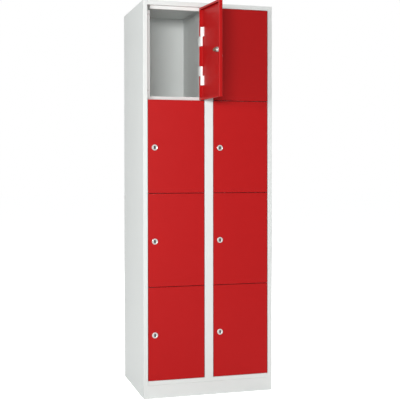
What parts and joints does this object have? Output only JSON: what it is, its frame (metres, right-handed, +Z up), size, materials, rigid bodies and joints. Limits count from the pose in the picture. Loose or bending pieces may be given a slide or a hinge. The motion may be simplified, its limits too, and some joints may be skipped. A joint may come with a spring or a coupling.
{
  "type": "compartment locker",
  "caption": "Tall sheet-steel locker with two columns of compartments, each closed by a folded door with inside hinges and a cam lock, on a closed plinth; the top left door stands open.",
  "frame": {"origin": "centre of the base, on the floor", "axes": "+Z up, the doors face -Y, +X to the right seen from the front"},
  "size_m": [0.61, 0.7431, 1.8],
  "materials": {
    "body_paint": "semi-matt powder coat, light grey",
    "door_paint": "semi-gloss powder coat, red",
    "hinge_steel": "semi-gloss, near-white",
    "pin_steel": "bright drawn steel",
    "lock_nickel": "nickel plated, polished",
    "cam_steel": "zinc plated",
    "buffer_rubber": "matt, light grey"
  },
  "bodies": {
    "cabinet": {"side_left": "body_paint", "side_right": "body_paint", "back_panel": "body_paint", "top_panel": "body_paint", "floor_panel": "body_paint", "centre_post": "body_paint", "partition_left": "body_paint", "partition_right": "body_paint", "shelf_left_1": "body_paint", "shelf_left_2": "body_paint", "shelf_left_3": "body_paint", "shelf_right_1": "body_paint", "shelf_right_2": "body_paint", "shelf_right_3": "body_paint", "plinth": "body_paint", "door_buffers": "buffer_rubber", "frame_hinges_left": "hinge_steel", "frame_hinges_right": "hinge_steel", "hinge_pins": "pin_steel"},
    "door_left_1": {"door_left_1": "door_paint", "door_hinges_left_1": "hinge_steel", "lock_housing_left_1": "lock_nickel"},
    "lock_left_1": {"lock_plug_left_1": "lock_nickel", "lock_cam_left_1": "cam_steel"},
    "door_left_2": {"door_left_2": "door_paint", "door_hinges_left_2": "hinge_steel", "lock_housing_left_2": "lock_nickel"},
    "lock_left_2": {"lock_plug_left_2": "lock_nickel", "lock_cam_left_2": "cam_steel"},
    "door_left_3": {"door_left_3": "door_paint", "door_hinges_left_3": "hinge_steel", "lock_housing_left_3": "lock_nickel"},
    "lock_left_3": {"lock_plug_left_3": "lock_nickel", "lock_cam_left_3": "cam_steel"},
    "door_left_4": {"door_left_4": "door_paint", "door_hinges_left_4": "hinge_steel", "lock_housing_left_4": "lock_nickel"},
    "lock_left_4": {"lock_plug_left_4": "lock_nickel", "lock_cam_left_4": "cam_steel"},
    "door_right_1": {"door_right_1": "door_paint", "door_hinges_right_1": "hinge_steel", "lock_housing_right_1": "lock_nickel"},
    "lock_right_1": {"lock_plug_right_1": "lock_nickel", "lock_cam_right_1": "cam_steel"},
    "door_right_2": {"door_right_2": "door_paint", "door_hinges_right_2": "hinge_steel", "lock_housing_right_2": "lock_nickel"},
    "lock_right_2": {"lock_plug_right_2": "lock_nickel", "lock_cam_right_2": "cam_steel"},
    "door_right_3": {"door_right_3": "door_paint", "door_hinges_right_3": "hinge_steel", "lock_housing_right_3": "lock_nickel"},
    "lock_right_3": {"lock_plug_right_3": "lock_nickel", "lock_cam_right_3": "cam_steel"},
    "door_right_4": {"door_right_4": "door_paint", "door_hinges_right_4": "hinge_steel", "lock_housing_right_4": "lock_nickel"},
    "lock_right_4": {"lock_plug_right_4": "lock_nickel", "lock_cam_right_4": "cam_steel"}
  },
  "joints": [
    {"name": "door_left_1_hinge", "type": "hinge", "parent": "cabinet", "child": "door_left_1", "pos_m": [-0.032, -0.2425, 1.5675], "axis": [0, 0, 1], "range_deg": [-95, 10]},
    {"name": "lock_left_1_turn", "type": "hinge", "parent": "door_left_1", "child": "lock_left_1", "pos_m": [-0.00527, -0.46201, 1.5625], "axis": [-0.9962, -0.0872, 0], "range_deg": [0, 180]},
    {"name": "door_left_2_hinge", "type": "hinge", "parent": "cabinet", "child": "door_left_2", "pos_m": [-0.032, -0.2425, 1.1425], "axis": [0, 0, 1], "range_deg": [0, 105]},
    {"name": "lock_left_2_turn", "type": "hinge", "parent": "door_left_2", "child": "lock_left_2", "pos_m": [-0.253, -0.25, 1.1375], "axis": [0, 1, 0], "range_deg": [0, 180]},
    {"name": "door_left_3_hinge", "type": "hinge", "parent": "cabinet", "child": "door_left_3", "pos_m": [-0.032, -0.2425, 0.7175], "axis": [0, 0, 1], "range_deg": [0, 105]},
    {"name": "lock_left_3_turn", "type": "hinge", "parent": "door_left_3", "child": "lock_left_3", "pos_m": [-0.253, -0.25, 0.7125], "axis": [0, 1, 0], "range_deg": [0, 180]},
    {"name": "door_left_4_hinge", "type": "hinge", "parent": "cabinet", "child": "door_left_4", "pos_m": [-0.032, -0.2425, 0.2925], "axis": [0, 0, 1], "range_deg": [0, 105]},
    {"name": "lock_left_4_turn", "type": "hinge", "parent": "door_left_4", "child": "lock_left_4", "pos_m": [-0.253, -0.25, 0.2875], "axis": [0, 1, 0], "range_deg": [0, 180]},
    {"name": "door_right_1_hinge", "type": "hinge", "parent": "cabinet", "child": "door_right_1", "pos_m": [0.273, -0.2425, 1.5675], "axis": [0, 0, 1], "range_deg": [0, 105]},
    {"name": "lock_right_1_turn", "type": "hinge", "parent": "door_right_1", "child": "lock_right_1", "pos_m": [0.052, -0.25, 1.5625], "axis": [0, 1, 0], "range_deg": [0, 180]},
    {"name": "door_right_2_hinge", "type": "hinge", "parent": "cabinet", "child": "door_right_2", "pos_m": [0.273, -0.2425, 1.1425], "axis": [0, 0, 1], "range_deg": [0, 105]},
    {"name": "lock_right_2_turn", "type": "hinge", "parent": "door_right_2", "child": "lock_right_2", "pos_m": [0.052, -0.25, 1.1375], "axis": [0, 1, 0], "range_deg": [0, 180]},
    {"name": "door_right_3_hinge", "type": "hinge", "parent": "cabinet", "child": "door_right_3", "pos_m": [0.273, -0.2425, 0.7175], "axis": [0, 0, 1], "range_deg": [0, 105]},
    {"name": "lock_right_3_turn", "type": "hinge", "parent": "door_right_3", "child": "lock_right_3", "pos_m": [0.052, -0.25, 0.7125], "axis": [0, 1, 0], "range_deg": [0, 180]},
    {"name": "door_right_4_hinge", "type": "hinge", "parent": "cabinet", "child": "door_right_4", "pos_m": [0.273, -0.2425, 0.2925], "axis": [0, 0, 1], "range_deg": [0, 105]},
    {"name": "lock_right_4_turn", "type": "hinge", "parent": "door_right_4", "child": "lock_right_4", "pos_m": [0.052, -0.25, 0.2875], "axis": [0, 1, 0], "range_deg": [0, 180]}
  ]
}
